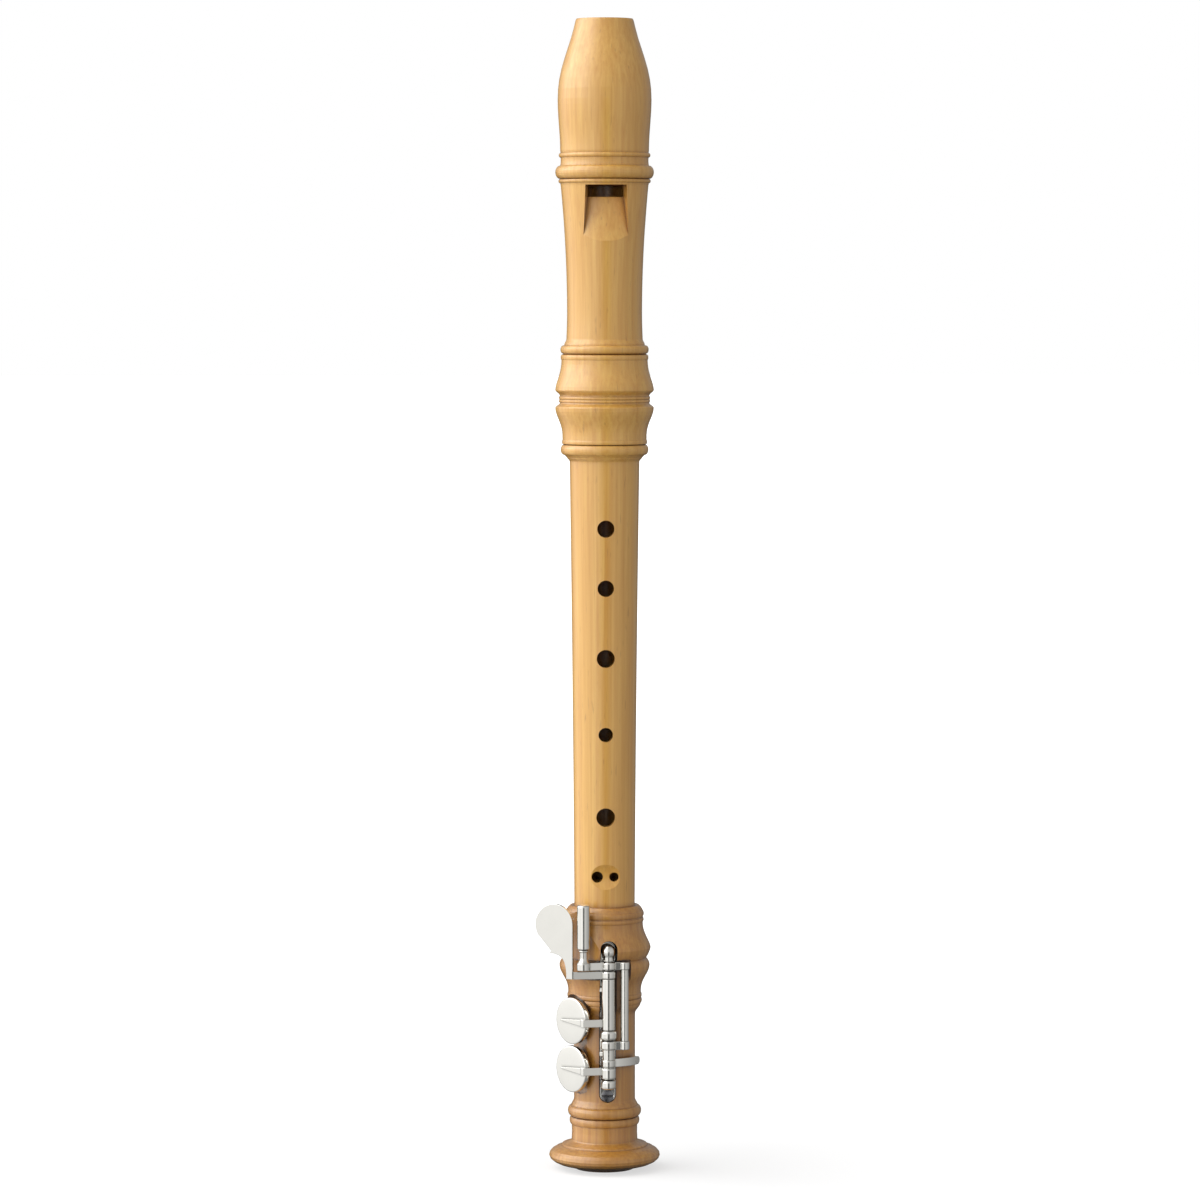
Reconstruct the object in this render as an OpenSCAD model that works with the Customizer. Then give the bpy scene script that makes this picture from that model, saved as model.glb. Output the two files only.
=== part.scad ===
// Soprano recorder in three joints, with two sprung keys on the foot joint.
// Units are millimetres. The origin is where the bore's axis meets the foot's resting face.
// +Z runs up the bore to the beak, and -Y is the front, where the finger holes are.

/* [Overall] */
// Length of the head joint, from its joint line to the tip of the beak
head_length = 107.6; // [98:0.1:130]
// Length of the middle joint that shows, from the foot's rim to the head's joint line
middle_length = 144.5; // [120:0.1:175]
// Length of the foot joint, from its resting face to its rim
foot_length = 75.9; // [75:0.1:92]
// Turn of the foot joint about the bore, set to suit the little finger, in degrees
foot_turn = 3.5; // [-20:0.5:20]

/* [Bore and tenons] */
// Radius of the head joint's straight bore
head_bore_r = 6.7; // [6.2:0.1:6.9]
// Radius of the middle joint's bore at its upper end
middle_bore_top_r = 6.3; // [5.6:0.1:6.5]
// Radius of the middle joint's bore at its lower end
middle_bore_foot_r = 4.9; // [4.6:0.1:5.2]
// Radius of the foot joint's bore
foot_bore_r = 4.6; // [4.2:0.1:4.8]
// Radius of the mouth at the bottom, which takes the peg of a stand
peg_bore_r = 5; // [4.8:0.1:5.6]
// Depth of the mouth that takes the peg of a stand
peg_bore_depth = 16; // [12:0.5:18]
// Length of the tenon that enters the head joint
upper_tenon_length = 19; // [15:0.5:23]
// Radius of the head joint's socket
upper_socket_r = 8.7; // [8.4:0.05:8.9]
// Length of the tenon that enters the foot joint
lower_tenon_length = 13.8; // [11.5:0.1:16.6]
// Radius of the foot joint's socket
lower_socket_r = 7.1; // [6.8:0.05:7.2]
// Thickness of the cork lapping on each tenon
cork_thickness = 0.7; // [0.5:0.05:0.9]
// Radial play of a tenon in its socket
tenon_clearance = 0.05; // [0.03:0.01:0.1]

/* [Windway and window] */
// Length of the windway, from the beak's tip to the window
windway_length = 47; // [44:0.5:52]
// Width of the windway and of the window
windway_width = 10.1; // [8.5:0.1:10.6]
// Height of the windway over the block
windway_height = 0.9; // [0.7:0.05:1]
// Gap from the block's face to the lip
window_length = 3.4; // [2.8:0.1:4]
// Length of the ramp below the lip
ramp_length = 12.4; // [10.5:0.1:14.5]
// Amount by which each side wall of the ramp parts from the middle towards its foot
ramp_spread = 0.9; // [0.5:0.05:1.3]
// Radius of the arch across the ramp and the lip
ramp_arch_r = 18; // [14:0.5:40]
// Radius of the hollow cut at the back of the beak
beak_cut_r = 38; // [32:0.5:46]
// Thickness of the beak at its tip, from front to back
beak_thickness = 8.9; // [8:0.1:10]

/* [Finger holes] */
// Places of the five single holes, as shares of the middle joint's length
hole_places = [0.747, 0.630, 0.492, 0.342, 0.179];
// Diameters of the five single holes
hole_widths = [4.85, 4.65, 5.1, 4.1, 5.3];
// Place of the double hole, as a share of the middle joint's length
double_hole_place = 0.061; // [0.05:0.001:0.08]
// Distance between the centres of the double hole
double_hole_gap = 4.74; // [4.2:0.01:5.2]
// Diameters of the double hole, left and right
double_hole_widths = [3.2, 2.65];
// Height of the scoop round the double hole
scoop_height = 7; // [6:0.1:8]
// Depth of the scoop round the double hole
scoop_depth = 1; // [0.6:0.05:1.1]
// Place of the thumb hole at the back, as a share of the middle joint's length
thumb_hole_place = 0.803; // [0.78:0.001:0.83]
// Diameter of the thumb hole
thumb_hole_width = 5; // [4:0.1:6]

/* [Keys] */
// Distance of the hinge line from the bore's axis
hinge_r = 11.2; // [11:0.05:12]
// Depth of the ball post's centre below the foot's rim
ball_drop = 12.15; // [11:0.05:13]
// Radius of the steel hinge rod
hinge_rod_r = 0.8; // [0.6:0.02:1]
// Radial play of the hinge tubes on the rod
hinge_clearance = 0.05; // [0.03:0.01:0.08]
// Lengthways play between a key and its posts
key_gap = 0.15; // [0.1:0.01:0.3]
// Angle by which a key stands open at rest, in degrees
key_open = 8; // [5:0.5:10]
// Radius of a pad cup
cup_r = 6.65; // [5.5:0.05:7]
// Thickness of a pad cup
cup_thickness = 1.4; // [1.2:0.1:1.8]
// Part of the pad that stands out of its cup
pad_proud = 1.2; // [0.8:0.1:1.6]
// Direction of the tone holes from the hinge line, in degrees
pad_turn = -64; // [-70:1:-58]
// Distance of the pad seats from the bore's axis
seat_r = 8; // [7.6:0.1:8.3]
// Diameter of the upper tone hole
upper_tone_hole = 6; // [4:0.1:6.4]
// Diameter of the lower tone hole
lower_tone_hole = 5.6; // [4:0.1:6.4]
// Radius of the roller
roller_r = 1.85; // [1.5:0.05:2.1]
// Length of the roller
roller_length = 12.6; // [10:0.1:13]
// Width of the leaf touch
leaf_width = 11.6; // [9:0.1:13]
// Thickness of the leaf touch
leaf_thickness = 0.9; // [0.7:0.1:1.3]

/* [Key plate] */
// Distance of the plate channel's floor from the bore's axis
plate_floor_r = 8.1; // [8:0.05:8.3]
// Thickness of the key plate
plate_thickness = 0.8; // [0.6:0.05:1]
// Width of the key plate
plate_width = 4.35; // [3.8:0.05:4.6]
// Play between the plate and the sides of its channel
plate_clearance = 0.27; // [0.1:0.01:0.4]
// Diameter of a plate screw's head
screw_head = 3.6; // [2.8:0.1:3.8]
// Diameter of a plate screw's shank
screw_shank = 1.5; // [1.2:0.1:1.8]

/* [Hidden] */
$fn = 96;
curve_steps = 9;
through = 40;
eps = 0.01;

boxwood = "#e3bd7f";
boxwood_foot = "#d8a868";
cedar = "#b5764a";
cork = "#c79b6b";
nickel_silver = "#d9d8d0";
steel = "#9da0a3";
leather = "#c9a27a";

// Heights of the joints
head_z = foot_length + middle_length;
window_z = head_length - windway_length;
lip_z = window_z - window_length;

// The turned shapes are stations, each [height, radius]. Rings are [height, radius, base radius, width].
// Head stations above its joint line
head_rim_ring = [0.45, 13, 12.75, 0.9];
head_rim = [1, 12.75];
head_bulge = [2.7, 14.05];
head_cove = [10.9, 12.27];
head_fine_ring = [11.9, 12.45, 12.25, 1.4];
head_ring = [14.1, 12.55, 11.7, 2.4];
head_collar = [15.4, 11.45];
head_neck = [17.2, 10.84];
head_waist = [25, 10.65];
head_flare_r = 12.45;
head_flare_power = 1.9;
// Head stations above the window
window_fine_ring = [1.2, 13.1, 12.6, 1.2];
window_ring = [3.7, 14, 12.6, 3.8];
window_upper_ring = [8.5, 13, 12.5, 1.3];
beak_foot = [9.8, 12.6];
beak_bulb = [24.3, 13.3];
beak_tip = [50.3, 8];
beak_edge = 0.5;
// Leans and bows of the runs between stations
head_cove_lean = 0.8;
head_waist_lean = 0.6;
ring_valley_bow = -0.1;
beak_lean = 1.1;

// Middle stations: the tube from the foot's rim, and the rest below the head's joint line
tube_foot_r = 8.65;
tube_head = [17.8, 9.92];
tube_bow = -0.15;
middle_cove_lean = 1.35;
middle_collar = [16.3, 10.8];
middle_ring = [14.3, 12.5, 11.5, 3];
middle_fine_ring = [12.1, 12.13, 11.98, 1.2];
middle_cove = [11.2, 11.98];
middle_bulge = [2.4, 14.03];
middle_rim = [1, 12.75];
middle_rim_ring = [0.45, 13, 12.75, 0.9];

// Foot stations below its rim
rim_edge_r = 9.8;
rim_ring = [2.4, 11.25, 10.9, 1.7];
rim_fine_ring = [4.1, 11.2, 10.95, 1.2];
upper_cove = [5, 10.95];
upper_bulge = [12.1, 13.2];
bulge_groove = [15.1, 11.9];
lower_bulge = [17.2, 12.9];
lower_cove = [24.7, 10.42];
shoulder_fine_ring = [25.8, 10.66, 10.42, 1.3];
shoulder_ring = [27.3, 10.7, 10.35, 1.5];
shoulder = [28.1, 10.35];
foot_tube_top = [31.2, 8.76];
// Foot stations above its resting face
foot_tube_end = [20.3, 8.74];
bell_upper_ring = [16.8, 10.5, 9.5, 3];
bell_lower_ring = [14, 10, 9.38, 2.4];
bell_neck = [11, 9.32];
bell_neck_foot = [8.6, 9.42];
bell_ledge = [6.95, 12.3];
bell_waist = [4, 8.6];
bell_r = 15.87;
bell_half_height = 3.15;
boss_r = 8.6;
foot_edge = 0.3;
// Leans and bows of the foot's runs, and the turn at which the bell's underside starts
rim_bow = 0.2;
upper_bulge_lean = 0.76;
groove_upper_bow = 0.2;
groove_lower_bow = 0.25;
lower_cove_lean = 1.22;
bell_ledge_bow = -0.75;
bell_start_turn = -82;

// Tenons
tenon_ring_gap = 0.1;
tenon_band = 2;
socket_end_gap = 0.3;
block_clearance = 0.03;

// Window
lip_y = -(head_bore_r + windway_height / 2);
lip_thickness = 0.15;
undercut_depth = 2.9;
undercut_length = 7;
ramp_foot_r = 11.2;
ramp_wall_slope = 0.2;
ramp_sag = 2;
beak_cut_drop = 2;

// Smooth share of a run from 0 to 1
function ease(t) = (1 - cos(180 * t)) / 2;
// S-shaped run between two stations; a lean above 1 starts it slowly
function ogee(a, b, lean = 1) =
    [for (i = [0 : curve_steps - 1]) let (t = i / curve_steps)
        [a[1] + (b[1] - a[1]) * ease(pow(t, lean)), a[0] + (b[0] - a[0]) * t]];
// Run between two stations that swells by the given bow, or hollows where it is negative
function bowed(a, b, bow) =
    [for (i = [0 : curve_steps - 1]) let (t = i / curve_steps)
        [a[1] + (b[1] - a[1]) * t + 4 * bow * t * (1 - t), a[0] + (b[0] - a[0]) * t]];
// Run that keeps its first radius for a while and then opens out
function flare(a, b, power) =
    [for (i = [0 : curve_steps - 1]) let (t = i / curve_steps)
        [a[1] + (b[1] - a[1]) * pow(t, power), a[0] + (b[0] - a[0]) * t]];
// Half-round ring
function bead(ring) =
    [for (i = [0 : curve_steps]) let (turn = -90 + 180 * i / curve_steps)
        [ring[2] + (ring[1] - ring[2]) * cos(turn), ring[0] + ring[3] / 2 * sin(turn)]];
// Part of an ellipse about a station, between two angles
function oval(centre, r, h, from, to) =
    [for (i = [0 : curve_steps]) let (turn = from + (to - from) * i / curve_steps)
        [centre[1] + r * cos(turn), centre[0] + h * sin(turn)]];
// A station or ring measured up or down from a height
function up_from(z, s) = [z + s[0], s[1], s[2], s[3]];
function down_from(z, s) = [z - s[0], s[1], s[2], s[3]];
// Outline closed along the axis
function closed(run) = concat([[0, run[0][1]]], run, [[0, run[len(run) - 1][1]]]);

module turned(run) {
    rotate_extrude() polygon(closed(run));
}

// Prism along X from a flat shape drawn in Y and Z
module across(width) {
    rotate([90, 0, 90]) linear_extrude(width, center = true) children();
}

module on_head() {
    translate([0, 0, head_z]) children();
}

module on_middle() {
    translate([0, 0, foot_length]) children();
}

// Hollow at the back of the beak, shared by the head and its block
module beak_cut() {
    tip_r = beak_edge_r();
    translate([0, beak_thickness - tip_r + beak_cut_r, head_length - beak_cut_drop])
        rotate([0, 90, 0]) cylinder(r = beak_cut_r, h = through, center = true);
}

function beak_run() = ogee(up_from(window_z, beak_bulb), up_from(window_z, beak_tip), beak_lean);
// Radius of the beak at its tip, before its edge is eased
function beak_edge_r() =
    let (t = (windway_length - beak_bulb[0]) / (beak_tip[0] - beak_bulb[0]))
    beak_bulb[1] + (beak_tip[1] - beak_bulb[1]) * ease(pow(t, beak_lean));

function head_run() = concat(
    bead(head_rim_ring),
    ogee(head_rim, head_bulge),
    ogee(head_bulge, head_cove, head_cove_lean),
    bead(head_fine_ring),
    bead(head_ring),
    ogee(head_collar, head_neck),
    ogee(head_neck, head_waist, head_waist_lean),
    flare(head_waist, [window_z, head_flare_r], head_flare_power),
    [[head_flare_r, window_z]],
    bead(up_from(window_z, window_fine_ring)),
    bead(up_from(window_z, window_ring)),
    bowed(up_from(window_z, [window_ring[0] + window_ring[3] / 2, window_ring[2]]),
        up_from(window_z, [window_upper_ring[0] - window_upper_ring[3] / 2, window_upper_ring[2]]),
        ring_valley_bow),
    bead(up_from(window_z, window_upper_ring)),
    ogee(up_from(window_z, beak_foot), up_from(window_z, beak_bulb)),
    [for (p = beak_run()) if (p[1] < head_length - beak_edge) p],
    [[beak_edge_r(), head_length - beak_edge], [beak_edge_r() - beak_edge / 2, head_length]]);

// Solid cylinder whose foremost line runs through two points, each [y, z]. It arches the ramp and the lip.
module arched(top, foot) {
    translate([0, top[0], top[1]]) rotate([atan2(foot[0] - top[0], top[1] - foot[1]), 0, 0])
        translate([0, ramp_arch_r, 0]) cylinder(r = ramp_arch_r, h = through, center = true, $fn = 2 * $fn);
}

// Prism in front of the lip, between side walls that part forwards and towards the ramp's foot
module between_ramp_walls() {
    back = lip_y + ramp_sag;
    front = -through / 2;
    top_half = windway_width / 2 - ramp_wall_slope * ramp_sag;
    foot_half = top_half + ramp_spread;
    forward = ramp_wall_slope * (back - front);
    top = window_z;
    foot = lip_z - ramp_length;
    polyhedron([
        [-foot_half, back, foot], [foot_half, back, foot], [top_half, back, top], [-top_half, back, top],
        [-foot_half - forward, front, foot], [foot_half + forward, front, foot],
        [top_half + forward, front, top], [-top_half - forward, front, top]],
        [[0, 1, 2, 3], [7, 6, 5, 4], [0, 4, 5, 1], [1, 5, 6, 2], [2, 6, 7, 3], [3, 7, 4, 0]]);
}

module ramp_cut() {
    difference() {
        between_ramp_walls();
        arched([lip_y, lip_z], [-ramp_foot_r, lip_z - ramp_length]);
    }
}

// Opening from the bore to the ramp, and the arched bevel on the lip's inner side
module window_cut() {
    inner = lip_y + undercut_depth;
    across(windway_width)
        polygon([[lip_y - eps, lip_z], [lip_y - eps, window_z], [inner, window_z], [inner, lip_z]]);
    intersection() {
        across(windway_width)
            polygon([[lip_y, lip_z + eps], [inner, lip_z + eps], [inner, lip_z - undercut_length],
                [lip_y, lip_z - undercut_length]]);
        arched([lip_y + lip_thickness, lip_z], [inner, lip_z - undercut_length]);
    }
}

module windway_cut() {
    intersection() {
        translate([0, 0, window_z]) cylinder(r = head_bore_r + windway_height, h = windway_length + 1);
        translate([-windway_width / 2, -through / 2, window_z])
            cube([windway_width, through / 2, windway_length + 1]);
    }
}

module head_joint() {
    socket_depth = upper_tenon_length + socket_end_gap;
    color(boxwood) on_head() difference() {
        turned(head_run());
        translate([0, 0, -1]) cylinder(r = upper_socket_r, h = socket_depth + 1);
        cylinder(r = head_bore_r, h = head_length + 1);
        windway_cut();
        window_cut();
        ramp_cut();
        beak_cut();
    }
}

module windway_block() {
    color(cedar) on_head() difference() {
        translate([0, 0, window_z]) cylinder(r = head_bore_r - block_clearance, h = windway_length);
        beak_cut();
    }
}

function middle_run() =
    let (top = middle_length,
        tenon_r = upper_socket_r - tenon_ring_gap,
        foot_tenon_r = lower_socket_r - tenon_ring_gap)
    concat(
    [[foot_tenon_r, -lower_tenon_length], [foot_tenon_r, tenon_band - lower_tenon_length],
        [foot_tenon_r - cork_thickness, tenon_band - lower_tenon_length],
        [foot_tenon_r - cork_thickness, -tenon_band], [foot_tenon_r, -tenon_band], [foot_tenon_r, 0]],
    bowed([0, tube_foot_r], down_from(top, tube_head), tube_bow),
    ogee(down_from(top, tube_head), down_from(top, middle_collar)),
    bead(down_from(top, middle_ring)),
    bead(down_from(top, middle_fine_ring)),
    ogee(down_from(top, middle_cove), down_from(top, middle_bulge), middle_cove_lean),
    ogee(down_from(top, middle_bulge), down_from(top, middle_rim)),
    bead(down_from(top, middle_rim_ring)),
    [[tenon_r, top], [tenon_r, top + tenon_band], [tenon_r - cork_thickness, top + tenon_band],
        [tenon_r - cork_thickness, top + upper_tenon_length - tenon_band],
        [tenon_r, top + upper_tenon_length - tenon_band], [tenon_r, top + upper_tenon_length]]);

// Hole through the front wall at a share of the middle joint's length
module front_hole(place, width, x = 0) {
    translate([x, 0, place * middle_length]) rotate([90, 0, 0]) cylinder(d = width, h = through / 2);
}

module double_hole_scoop() {
    half = scoop_height / 2;
    scoop_r = (half * half + scoop_depth * scoop_depth) / (2 * scoop_depth);
    translate([0, scoop_depth - scoop_r - tube_foot_r, double_hole_place * middle_length])
        rotate([0, 90, 0]) cylinder(r = scoop_r, h = through, center = true);
}

module middle_joint() {
    bore_length = lower_tenon_length + middle_length + upper_tenon_length;
    color(boxwood) on_middle() difference() {
        turned(middle_run());
        translate([0, 0, -lower_tenon_length])
            cylinder(r1 = middle_bore_foot_r, r2 = middle_bore_top_r, h = bore_length);
        for (i = [0 : len(hole_places) - 1]) front_hole(hole_places[i], hole_widths[i]);
        double_hole_scoop();
        front_hole(double_hole_place, double_hole_widths[0], -double_hole_gap / 2);
        front_hole(double_hole_place, double_hole_widths[1], double_hole_gap / 2);
        mirror([0, 1, 0]) front_hole(thumb_hole_place, thumb_hole_width);
    }
}

// Cork sleeve between two heights, inside a socket
module tenon_cork(socket_r, low, high) {
    color(cork) on_middle() translate([0, 0, low]) difference() {
        cylinder(r = socket_r - tenon_clearance, h = high - low);
        translate([0, 0, -1]) cylinder(r = socket_r - tenon_ring_gap - cork_thickness, h = high - low + 2);
    }
}

module upper_tenon_cork() {
    tenon_cork(upper_socket_r, middle_length + tenon_band, middle_length + upper_tenon_length - tenon_band);
}

module lower_tenon_cork() {
    tenon_cork(lower_socket_r, tenon_band - lower_tenon_length, -tenon_band);
}

// Keys: heights along the hinge line, measured from the ball post's centre
ball_z = foot_length - ball_drop;
ball_r = 2.07;
ball_neck_r = 1.52;
ball_neck_drop = 2.65;
ball_stem_r = 1.3;
hub_height = 2.4;
hub_r = 2.1;
arm_height = 2.15;
arm_depth = 1.7;
post_height = 2.8;
post_edge = 0.85;
middle_post_r = 2.4;
lower_post_r = 2.1;
post_base = 4.3;
post_base_front = 0.6;
rod_fit = 0.02;
rod_end = 0.3;
rod_in_ball = 0.9;
edge = 0.25;
collar_edge = 0.6;
roller_hub_z = ball_z - ball_neck_drop - key_gap - hub_height;
leaf_hub_z = roller_hub_z - key_gap - hub_height;
middle_post_z = ball_z - 25.2;
lower_post_z = ball_z - 39.35;
upper_pad_z = ball_z - 20.35;
lower_pad_z = ball_z - 34.15;
leaf_tube_r = 1.9;
roller_tube_r = 1.7;
roller_tube_z = lower_post_z + post_height + key_gap;
roller_tube_top = middle_post_z - key_gap;
collar_height = 2.65;
collar_r = 2.15;
cup_collar_height = 3.3;
tail_collar_height = 2.4;
tail_collar_r = 1.95;

// Roller key
roller_x = -7.25;
roller_y = -1.2;
boss_round_r = 1.95;
stem_foot_r = 1.75;
stem_r = 1.1;
pin_bead_r = 1.4;
pin_r = 0.8;
pin_length = 11;
stem_height = 3.1;
stem_flare_height = 1.4;
stem_bow = -0.15;
pin_bead_height = 0.65;
roller_gap = 0.2;
roller_dome = 0.7;
bridge_x = 4.57;
bridge_r = 1.17;
bridge_boss_r = 1.43;
tail_r = 9.6;
tail_thickness = 1.2;
tail_width = 2.3;
tail_turn = 56;
tail_cork_turn = [45, 55];
tail_cork_width = 1.8;
stop_gap = 0.04;

// Leaf key
leaf_x = -10.4;
leaf_y = -1;
leaf_turn = 150;
leaf_height = 21.3;
leaf_lobe_r = 5.9;
leaf_root = 1.9;
leaf_waist = 3.4;
leaf_step = [7.3, 7.2];
leaf_step_in = [6.8, 8];
heel_x = [0.6, 2];
heel_front = 0.8;
heel_back = 1.9;
heel_height = 2.5;
heel_drop = 18.2;

// Pads
pad_gap = 0.05;
pad_inset = 0.4;
cup_wall = 0.35;
cup_floor = 0.5;
spear_half = 1;
spear_tip_half = 0.18;
spear_tip = 3.9;
spear_thickness = 0.5;
arm_thickness = 1.1;
elbow_grip = 1.2;
elbow_reach = 1.6;
elbow_depth = 1;
elbow_rise = 0.3;
face_r = seat_r + pad_gap + pad_proud + cup_thickness;
seat_margin = 0.75;

// Springs
spring_r = 0.2;
spring_turn = 140;
spring_ring_r = 2.41;
catch_turn = 152;
catch_reach = 2.65;
catch_width = 0.6;
catch_height = 1.2;
spring_in_post = 1.4;
upper_spring_top = ball_z - 10.1;
lower_spring_top = ball_z - 28.5;
catch_below_tip = 1.4;

// Key plate and the wood cut away for the keys
plate_top = ball_z + 2.85;
plate_length = 46.2;
plate_face = plate_floor_r + plate_thickness;
screw_drops = [11.75, 41.7];
screw_dome = 0.25;
screw_length = 2.9;
screw_slot = 0.6;
screw_slot_depth = 0.45;
screw_fit = 0.03;
arm_cut_turn = -24;
arm_cut_r = 10;
arm_cut_margin = 0.4;
roller_cut_turn = -47;
roller_cut_r = 10.7;
bridge_cut_x = 6.4;
bridge_cut_r = 9.75;
bridge_cut_low = ball_z - 17.8;

module on_foot() {
    rotate([0, 0, foot_turn]) children();
}

// Frame with its origin on the hinge line
module on_hinge(z = 0) {
    on_foot() translate([0, -hinge_r, z]) children();
}

// Frame of a shut pad, turned open about the hinge line: +X points out of the tone hole, +Y to the hinge line
module on_pad(z) {
    on_hinge() rotate([0, 0, key_open]) translate([0, hinge_r, z]) rotate([0, 0, pad_turn - 90]) children();
}

// Upright cylinder with rounded edges
module barrel(r, h, bottom_edge = edge, top_edge = edge) {
    rotate_extrude() polygon(closed(concat(
        oval([bottom_edge, r - bottom_edge], bottom_edge, bottom_edge, -90, 0),
        oval([h - top_edge, r - top_edge], top_edge, top_edge, 0, 90))));
}

// Space for a part that turns on the rod
module rod_hole(clearance = hinge_clearance) {
    translate([0, 0, -through]) cylinder(r = hinge_rod_r + clearance, h = 2 * through + ball_z);
}

// Flat bar between two points in plan
module bar(a, b, width) {
    along = b - a;
    side = width / 2 / norm(along) * [-along[1], along[0]];
    polygon([a + side, b + side, b - side, a - side]);
}

// Upright slot with round ends, from low to high
module round_slot(width, low, high) {
    translate([0, low + width / 2]) circle(d = width);
    translate([0, high - width / 2]) circle(d = width);
    translate([-width / 2, low + width / 2]) square([width, high - low - width]);
}

// Flat shape drawn in X and Z, standing out in front of the bore between two distances
module in_front(from, to) {
    translate([0, -from, 0]) rotate([90, 0, 0]) linear_extrude(to - from) children();
}

function foot_run() = concat(
    [[peg_bore_r - 1, 0], [boss_r - foot_edge, 0], [boss_r, foot_edge]],
    oval(bell_waist, bell_r - boss_r, bell_half_height, bell_start_turn,
        acos((boss_r - bell_ledge[1]) / (boss_r - bell_r))),
    [[bell_ledge[1], bell_ledge[0]]],
    bowed([bell_ledge[0] + edge, bell_ledge[1] - edge], bell_neck_foot, bell_ledge_bow),
    bowed(bell_neck_foot, bell_neck, 0),
    bead(bell_lower_ring),
    bead(bell_upper_ring),
    ogee([bell_upper_ring[0] + bell_upper_ring[3] / 2, bell_upper_ring[2]], foot_tube_end),
    bowed(foot_tube_end, down_from(foot_length, foot_tube_top), 0),
    ogee(down_from(foot_length, foot_tube_top), down_from(foot_length, shoulder)),
    bead(down_from(foot_length, shoulder_ring)),
    bead(down_from(foot_length, shoulder_fine_ring)),
    ogee(down_from(foot_length, lower_cove), down_from(foot_length, lower_bulge), lower_cove_lean),
    bowed(down_from(foot_length, lower_bulge), down_from(foot_length, bulge_groove), groove_lower_bow),
    bowed(down_from(foot_length, bulge_groove), down_from(foot_length, upper_bulge), groove_upper_bow),
    ogee(down_from(foot_length, upper_bulge), down_from(foot_length, upper_cove), upper_bulge_lean),
    bead(down_from(foot_length, rim_fine_ring)),
    bead(down_from(foot_length, rim_ring)),
    bowed([foot_length - rim_ring[0] + rim_ring[3] / 2, rim_ring[2]], [foot_length, rim_edge_r], rim_bow),
    [[rim_edge_r, foot_length]]);

// Wood cut away on the left, under the two arms and behind the roller
module arm_cuts() {
    low = leaf_hub_z - arm_cut_margin;
    high = roller_hub_z + hub_height + arm_cut_margin;
    intersection() {
        rotate([0, 0, arm_cut_turn]) translate([-through, -through - arm_cut_r, low])
            cube([2 * through, through, high - low]);
        translate([-through, -through, low]) cube([through, through, high - low]);
    }
    rotate([0, 0, roller_cut_turn]) translate([-through, -through - roller_cut_r, high - arm_cut_margin])
        cube([2 * through, through, foot_length]);
}

module bridge_cut() {
    high = roller_hub_z + hub_height + arm_cut_margin;
    translate([0, -through - bridge_cut_r, bridge_cut_low])
        cube([bridge_cut_x, through, high - bridge_cut_low]);
}

// Flat seat and hole for one pad
module pad_seat(z, hole) {
    rotate([0, 0, pad_turn - 90]) translate([0, 0, z]) rotate([0, 90, 0]) {
        translate([0, 0, seat_r]) cylinder(r = cup_r + seat_margin, h = through);
        cylinder(d = hole, h = through);
    }
}

module foot_joint() {
    plate_play = 2 * plate_clearance;
    color(boxwood_foot) on_foot() difference() {
        turned(foot_run());
        translate([0, 0, -1]) cylinder(r = peg_bore_r, h = peg_bore_depth + 1);
        cylinder(r = foot_bore_r, h = foot_length);
        translate([0, 0, foot_length - lower_tenon_length - socket_end_gap])
            cylinder(r = lower_socket_r, h = foot_length);
        in_front(plate_floor_r, through)
            round_slot(plate_width + plate_play, plate_top - plate_length - plate_clearance,
                plate_top + plate_clearance);
        for (drop = screw_drops) translate([0, -plate_floor_r + screw_length + screw_fit, ball_z - drop])
            rotate([90, 0, 0]) cylinder(d = screw_shank + 2 * screw_fit, h = through);
        arm_cuts();
        bridge_cut();
        pad_seat(upper_pad_z, upper_tone_hole);
        pad_seat(lower_pad_z, lower_tone_hole);
    }
}

// Countersunk screw with a domed slotted head, pointing into the wood; grown is the hole that takes it
module plate_screw(z, grown = 0) {
    translate([0, -plate_face, z]) rotate([-90, 0, 0]) {
        cylinder(d1 = screw_head + 2 * grown, d2 = screw_shank + 2 * grown, h = plate_thickness + grown);
        translate([0, 0, plate_thickness - eps])
            cylinder(d = screw_shank + 2 * grown, h = screw_length + eps);
    }
}

module key_plate() {
    color(nickel_silver) on_foot() difference() {
        in_front(plate_floor_r, plate_face) round_slot(plate_width, plate_top - plate_length, plate_top);
        for (drop = screw_drops) plate_screw(ball_z - drop, screw_fit);
    }
}

module plate_screws() {
    dome_r = (screw_head * screw_head / 4 + screw_dome * screw_dome) / (2 * screw_dome);
    color(steel) on_foot() for (drop = screw_drops) difference() {
        union() {
            plate_screw(ball_z - drop);
            intersection() {
                translate([0, -plate_face - screw_dome + dome_r, ball_z - drop]) sphere(dome_r);
                in_front(plate_face - eps, plate_face + 1)
                    translate([0, ball_z - drop]) circle(d = screw_head);
            }
        }
        translate([-screw_head, -plate_face - 1, ball_z - drop - screw_slot / 2])
            cube([2 * screw_head, 1 + screw_slot_depth - screw_dome, screw_slot]);
    }
}

module ball_post() {
    color(nickel_silver) on_hinge() difference() {
        union() {
            translate([0, 0, ball_z]) sphere(ball_r);
            translate([0, 0, ball_z - ball_neck_drop]) cylinder(r = ball_neck_r, h = ball_neck_drop);
            translate([0, 0, ball_z]) rotate([-90, 0, 0]) cylinder(r = ball_stem_r, h = hinge_r - plate_face);
        }
        translate([0, 0, ball_z - ball_neck_drop - 1])
            cylinder(r = hinge_rod_r + rod_fit, h = ball_neck_drop + rod_in_ball + 1);
    }
}

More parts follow.
